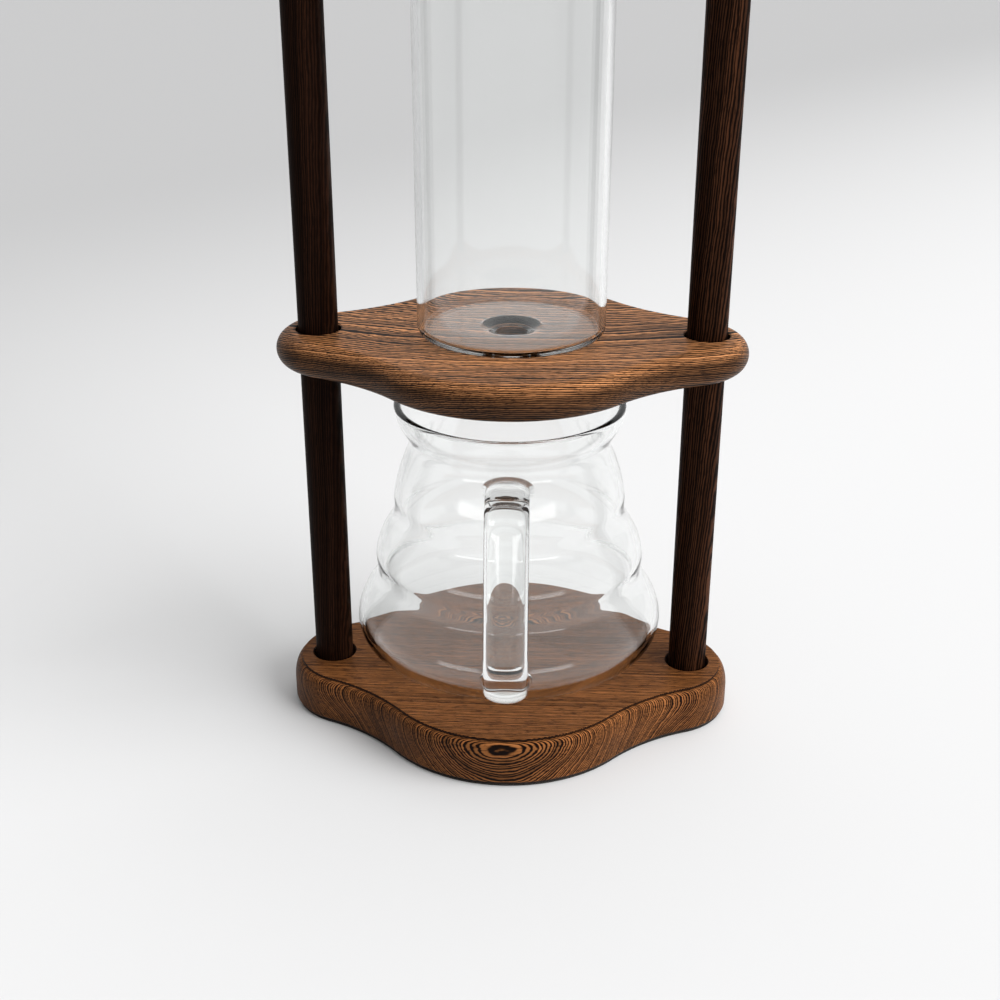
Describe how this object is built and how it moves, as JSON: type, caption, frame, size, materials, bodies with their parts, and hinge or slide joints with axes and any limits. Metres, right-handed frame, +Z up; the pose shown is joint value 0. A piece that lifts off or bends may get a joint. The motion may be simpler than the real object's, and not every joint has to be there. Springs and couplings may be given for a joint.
{
  "type": "slow-drip coffee tower",
  "caption": "Table-top slow-drip coffee tower: a dark wood stand with a glass water vessel and drip valve over a glass coffee chamber and a bulged glass server.",
  "frame": {"origin": "on the table, midway between the two posts, at the felt's underside", "axes": "+Z up, -Y to the front where the server's handle and the valve knob point, +X to the right as seen from the front"},
  "size_m": [0.166, 0.1378, 0.4893],
  "materials": {
    "plate_wood": "oiled, fine dark grain, semi-gloss",
    "post_wood": "oiled, near black, semi-gloss",
    "felt": "matt felt",
    "steel": "plain",
    "glass": "clear",
    "silicone": "matt",
    "brass": "satin"
  },
  "bodies": {
    "stand": {"base_plate": "plate_wood", "base_felt": "felt", "post_left": "post_wood", "post_right": "post_wood", "middle_shelf": "plate_wood", "top_shelf": "plate_wood", "base_screw_left": "steel", "base_screw_right": "steel", "middle_screw_left": "steel", "middle_screw_right": "steel", "top_screw_left": "steel", "top_screw_right": "steel"},
    "server": {"server_body": "glass", "server_handle": "glass"},
    "chamber": {"coffee_chamber": "glass"},
    "reservoir": {"water_reservoir": "glass", "reservoir_stopper": "silicone", "valve_body": "brass", "drip_nozzle": "brass", "valve_packing": "silicone", "gland_nut": "brass"},
    "lid": {"reservoir_lid": "plate_wood", "lid_knob": "post_wood", "lid_screw": "steel"},
    "needle": {"valve_needle": "steel"},
    "knob": {"valve_knob": "post_wood"}
  },
  "joints": [
    {"name": "server_slide", "type": "slide", "parent": "stand", "child": "server", "axis": [0, -1, 0], "range_m": [0, 0.14]},
    {"name": "chamber_lift", "type": "slide", "parent": "stand", "child": "chamber", "axis": [0, 0, 1], "range_m": [0, 0.02]},
    {"name": "reservoir_lift", "type": "slide", "parent": "stand", "child": "reservoir", "axis": [0, 0, 1], "range_m": [0, 0.08]},
    {"name": "lid_lift", "type": "slide", "parent": "reservoir", "child": "lid", "axis": [0, 0, 1], "range_m": [0, 0.05]},
    {"name": "needle_travel", "type": "slide", "parent": "reservoir", "child": "needle", "axis": [0, -1, 0], "range_m": [0, 0.002]},
    {"name": "knob_turn", "type": "hinge", "parent": "needle", "child": "knob", "pos_m": [0, -0.0231, 0.3227], "axis": [0, -1, 0], "range_deg": [0, 720]}
  ],
  "couplings": [
    {"joint": "knob_turn", "follows": "needle_travel", "rad_per_m": 6283.2}
  ]
}
